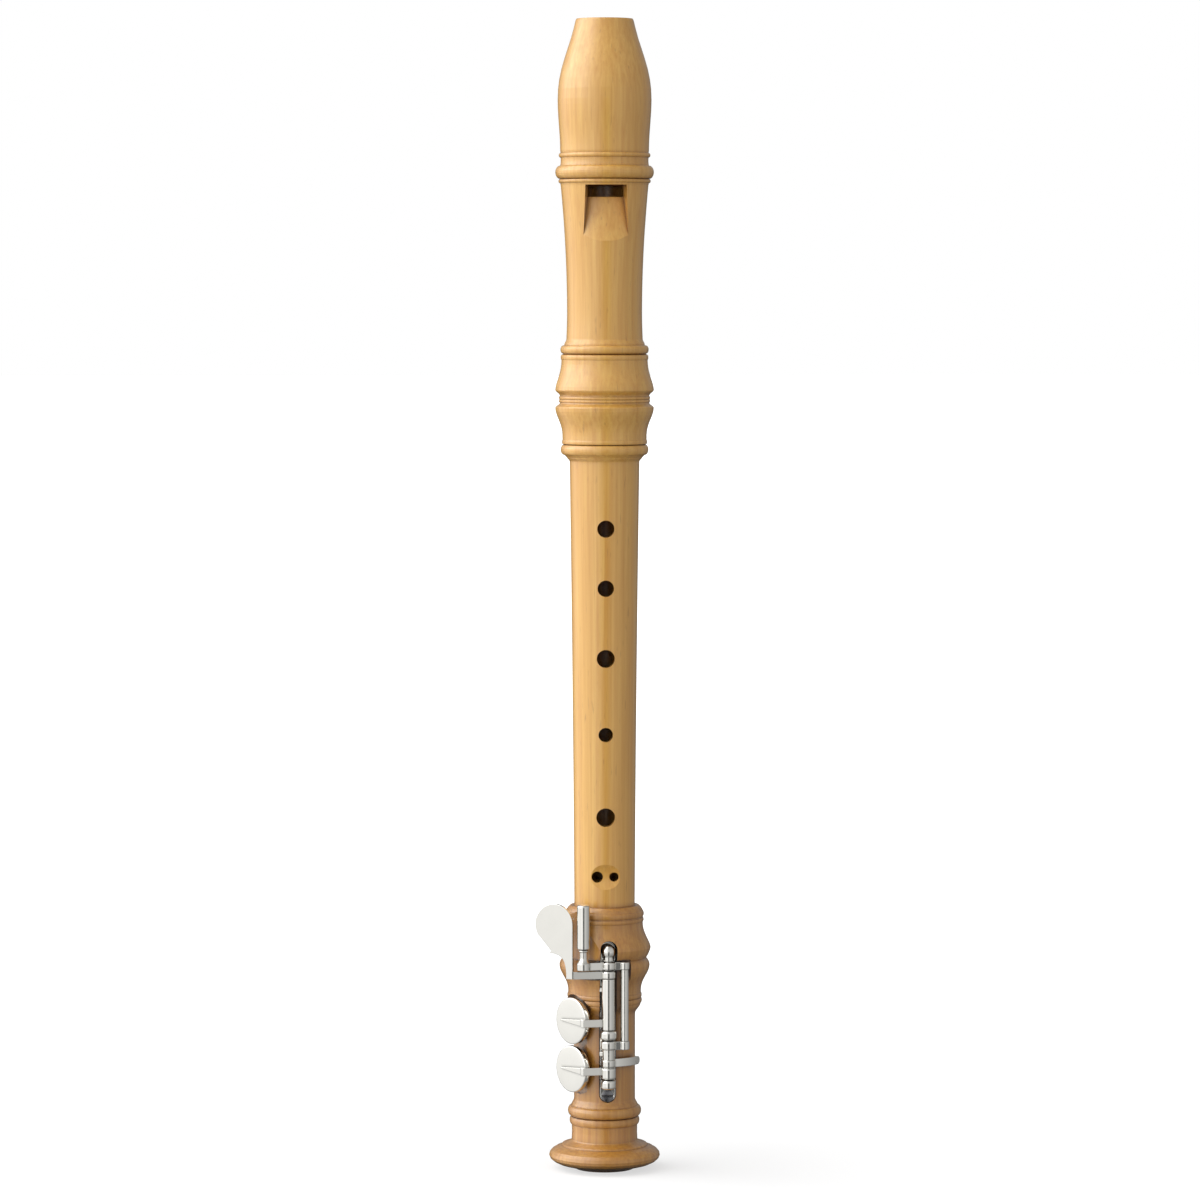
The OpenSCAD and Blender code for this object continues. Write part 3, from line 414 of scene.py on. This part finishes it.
# %% [markdown]
# ## Cedar, cork, metal and leather
# The block is red cedar, which swells little in damp breath. Cork is cells and dark pits at every scale.
# Nickel silver is polished on a wheel, which leaves faint clouds in the shine and rounds each edge, and
# tarnish stays in the corners. The steel is turned and blued, so it is darker and duller. The pads' skin
# is tanned, mottled and pebbled.

# %% Mix the other finishes
WHEEL_EDGE = 0.3 * MM
TARNISH_REACH = 0.9 * MM
TARNISH_SHARE = 0.22


def cedar():
    """Red cedar with coarse open grain."""
    wood = Finish("cedar_block", srgb(176, 110, 70), 0.62)
    grain = wood.noise((1400, 1400, 30), detail=4, distortion=0.4)
    tone = wood.ramp(grain, [(0.3, srgb(138, 78, 46)), (0.7, srgb(194, 128, 84))])
    wood.link(tone, wood.shader.inputs["Base Color"])
    wood.bump(grain, 0.05 * MM, 0.5)
    return wood.material


def cork():
    """Pressed cork with fine cells and larger dark pits."""
    bark = Finish("cork_lapping", srgb(196, 148, 98), 0.85)
    cells = bark.noise((1100, 1100, 1100), detail=4, roughness=0.7)
    pits = bark.noise((420, 420, 420), detail=2)
    tone = bark.ramp(cells, [(0.3, srgb(150, 102, 60)), (0.7, srgb(214, 170, 118))])
    tone = bark.mix(bark.band(pits, 0.6, 0.75, 0, 0.7), tone, srgb(96, 58, 32))
    bark.link(tone, bark.shader.inputs["Base Color"])
    bark.bump(cells, 0.08 * MM, 0.6)
    return bark.material


def metal(name, colour, smooth, dull, mark_depth):
    """Metal whose roughness drifts from `smooth` to `dull` in clouds, with hair-fine marks from the cloth."""
    face = Finish(name, colour, smooth, 1.0)
    clouds = face.noise((190, 190, 190), detail=4, roughness=0.6)
    marks = face.noise((5200, 5200, 700), detail=2)
    tarnish = face.crevice(TARNISH_REACH)
    tone = face.mix(face.band(clouds, 0.35, 0.75, 0, 0.22), colour, tuple(0.84 * c for c in colour))
    tone = face.mix(face.band(tarnish, 0.4, 0.92, 0.9, 0), tone, tuple(TARNISH_SHARE * c for c in colour))
    face.link(tone, face.shader.inputs["Base Color"])
    face.link(face.band(clouds, 0.3, 0.75, smooth, dull), face.shader.inputs["Roughness"])
    face.eased(WHEEL_EDGE)
    face.bump(marks, mark_depth, 0.25)
    return face.material


def pad_leather():
    """Thin skin: brown and cream mottling under small pebbles."""
    skin = Finish("pad_skin", srgb(190, 150, 104), 0.55)
    pebbles = skin.noise((2400, 2400, 2400), detail=3, roughness=0.6)
    mottle = skin.noise((900, 900, 900), detail=3, shift=(2, 4, 1))
    tone = skin.ramp(mottle, [(0.34, srgb(96, 56, 26)), (0.5, srgb(176, 124, 70)),
                              (0.66, srgb(236, 208, 166))])
    skin.link(tone, skin.shader.inputs["Base Color"])
    skin.link(skin.band(pebbles, 0.3, 0.7, 0.35, 0.65), skin.shader.inputs["Roughness"])
    skin.bump(pebbles, 0.08 * MM, 0.6)
    return skin.material


bright_nickel = metal("nickel_silver_polished", (0.77, 0.757, 0.71), 0.03, 0.075, 0.002 * MM)
blue_steel = metal("steel_turned", (0.22, 0.22, 0.23), 0.2, 0.34, 0.01 * MM)
cedar_block = cedar()
cork_lapping = cork()
pad_skin = pad_leather()
print("finishes:", [made.name for made in (cedar_block, cork_lapping, bright_nickel, blue_steel, pad_skin)])

# %% [markdown]
# ## Dress every node
# Each CAD node names what it is made of in its first material slot, and that name picks the finish. The
# foot is cut from a darker piece of boxwood than the head and the middle joint.

# %% Give each node its finish
finishes = {"boxwood": pale_boxwood, "cedar": cedar_block, "cork": cork_lapping,
            "nickel_silver": bright_nickel, "steel": blue_steel, "pad_leather": pad_skin}
for name, node in nodes.items():
    slot_name = node.data.materials[0].name.split(".")[0]
    node.data.materials[0] = finishes[slot_name]
nodes["foot_joint"].data.materials[0] = foot_boxwood
print("dressed", len(nodes), "nodes in", len(finishes) + 1, "finishes")

# %% [markdown]
# ## A disc's own axes
# The cups and the pads face sideways out of the foot, so a spun copy needs their own axes. A disc's axis
# is the direction in which its points spread least, and it is pointed away from the bore.

# %% Find a disc's own axes
def disc_frame(node_name):
    """Centre, axis away from the bore, two directions across, lowest and highest depth, and radius."""
    mesh = nodes[node_name].data
    points = np.empty(len(mesh.vertices) * 3)
    mesh.vertices.foreach_get("co", points)
    points = points.reshape(-1, 3)
    middle = (points.min(0) + points.max(0)) / 2
    spread = np.linalg.svd(points - points.mean(0), full_matrices=False)[2]
    axis = spread[2] * np.sign(spread[2][:2] @ middle[:2])
    across = np.cross(axis, (0.0, 0.0, 1.0))
    across /= np.linalg.norm(across)
    depth = (points - middle) @ axis
    radius = np.linalg.norm(points - middle - np.outer(depth, axis), axis=1).max()
    return middle, axis, across, np.cross(across, axis), depth.min(), depth.max(), radius


print("upper cup's radius in mm:", round(disc_frame("upper_pad_cup")[-1] / MM, 2))

# %% [markdown]
# ## Pad cups and pads
# A pad cup is spun from sheet: its face is a little crowned, its edge is rounded, and its wall is thin. The
# pad is a felt disc in soft skin. It sits inside the cup's wall, its rolled side shows below the wall,
# and it keeps a ring where it has closed on the tone hole. Both are profiles spun about the disc's axis.

# %% Spin the cups and the pads
AROUND = 128
CROWN = 0.12 * MM
CUP_EDGE = 0.35 * MM
CUP_WALL = 0.35 * MM
CUP_FLOOR = 0.5 * MM
PAD_PLAY = 0.05 * MM
PAD_ROLL = 0.6 * MM
PAD_LIFT = 0.25 * MM
ROLL_FROM_BACK = 0.95 * MM
DENT_DEPTH = 0.16 * MM
DENT_RADIUS = 3.3 * MM
DENT_WIDTH = 0.45 * MM
RIPPLE_DEPTH = 0.0025 * MM
RIPPLE_STEP = 0.8 * MM


def spun(name, profile, middle, axis, across, upward):
    """Surface of revolution: middle + depth x axis + radius x (cos t x across + sin t x upward)."""
    t = np.linspace(0, 2 * np.pi, AROUND, endpoint=False)
    radius, depth = profile[:, 0, None], profile[:, 1, None]
    points = (middle + depth[..., None] * axis
              + (radius * np.cos(t))[..., None] * across + (radius * np.sin(t))[..., None] * upward)
    return finished(name, surface_mesh(name, *np.moveaxis(points, -1, 0), close_v=True))


def cup_profile(low, high, radius):
    """Face that falls by the fourth power of the radius, a rounded edge, then the wall and the floor inside."""
    r = np.linspace(0, radius - CUP_EDGE, 24)
    face = np.stack([r, high - CROWN * (r / radius) ** 4], 1)
    t = np.radians(np.linspace(80, 0, 9))
    edge = np.stack([radius - CUP_EDGE + CUP_EDGE * np.cos(t),
                     face[-1, 1] - CUP_EDGE + CUP_EDGE * np.sin(t)], 1)
    inside = [[radius, low], [radius - CUP_WALL, low], [radius - CUP_WALL, high - CUP_FLOOR],
              [0, high - CUP_FLOOR]]
    return np.concatenate([face, edge, inside])


def pad_profile(low, high, radius):
    """Seat face that lifts by the fourth power of the radius, with a ring dented as a bell curve and a faint
    ripple, then a side rolled as half an ellipse, and a flat back."""
    flat_radius = radius - PAD_ROLL
    r = np.linspace(0, flat_radius, 30)
    lift = PAD_LIFT * (r / radius) ** 4
    dent = DENT_DEPTH * np.exp(-((r - DENT_RADIUS) / DENT_WIDTH) ** 2)
    ripple = RIPPLE_DEPTH * np.sin(r / RIPPLE_STEP) ** 2 * (r / radius) ** 4
    seat_face = np.stack([r, low + lift + dent + ripple], 1)
    roll_low, roll_high = low + PAD_LIFT, high - ROLL_FROM_BACK
    t = np.radians(np.linspace(-90, 90, 13))
    roll = np.stack([flat_radius + PAD_ROLL * np.cos(t),
                     (roll_low + roll_high) / 2 + (roll_high - roll_low) / 2 * np.sin(t)], 1)
    return np.concatenate([seat_face, roll, [[flat_radius, high - PAD_PLAY], [0, high - PAD_PLAY]]])


KEYS = (("upper", "leaf_key"), ("lower", "roller_key"))
for place, key in KEYS:
    middle, axis, across, upward, low, high, radius = disc_frame(place + "_pad_cup")
    cup = spun(place + "_cup_spun", cup_profile(low, high, radius), middle, axis, across, upward)
    cup.data.materials.append(bright_nickel)
    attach(cup, key)
    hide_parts(place + "_pad_cup")

    middle, axis, across, upward, low, high, radius = disc_frame(place + "_pad")
    pad = spun(place + "_pad_kid", pad_profile(low, high, radius), middle, axis, across, upward)
    pad.data.materials.append(pad_skin)
    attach(pad, key)
    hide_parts(place + "_pad")
    print(place, "cup and pad spun; pad radius in mm:", round(radius / MM, 2))

# %% [markdown]
# ## Needle springs
# Each key is held open by a blued steel needle. One end is driven into a post, and the other bears on a
# small catch on the hinge tube. When the key is pressed the needle has to bend, and a stiff rod would cut
# into the tube. The needle is drawn again as a straight swept line that thins towards its point.

# %% Sweep the needles
NEEDLE_AROUND = 16
NEEDLE_RINGS = 60
NEEDLE_THINNING = 0.4
needle_along = np.linspace(0, 1, NEEDLE_RINGS)
needle_around = np.linspace(0, 2 * np.pi, NEEDLE_AROUND, endpoint=False)


def needle_mesh(name, centre_x, centre_y, low_z, length, thick):
    """Tube up a straight line: its radius falls with the square of the way along, and both ends close up."""
    along, t = np.meshgrid(needle_along, needle_around, indexing="ij")
    closed = np.clip(np.minimum(along, 1 - along) * NEEDLE_RINGS, 0, 1)
    ring = thick * closed * (1 - NEEDLE_THINNING * along ** 2)
    return surface_mesh(name, centre_x + ring * np.cos(t), centre_y + ring * np.sin(t),
                        low_z + length * along, close_v=True)


for place, key in KEYS:
    low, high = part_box(place + "_spring")
    centre_x, centre_y = (low.x + high.x) / 2, (low.y + high.y) / 2
    name = place + "_needle"
    needle = finished(name, needle_mesh(name, centre_x, centre_y, low.z, high.z - low.z, (high.x - low.x) / 2))
    needle.data.materials.append(blue_steel)
    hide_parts(place + "_spring")
    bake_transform(needle)
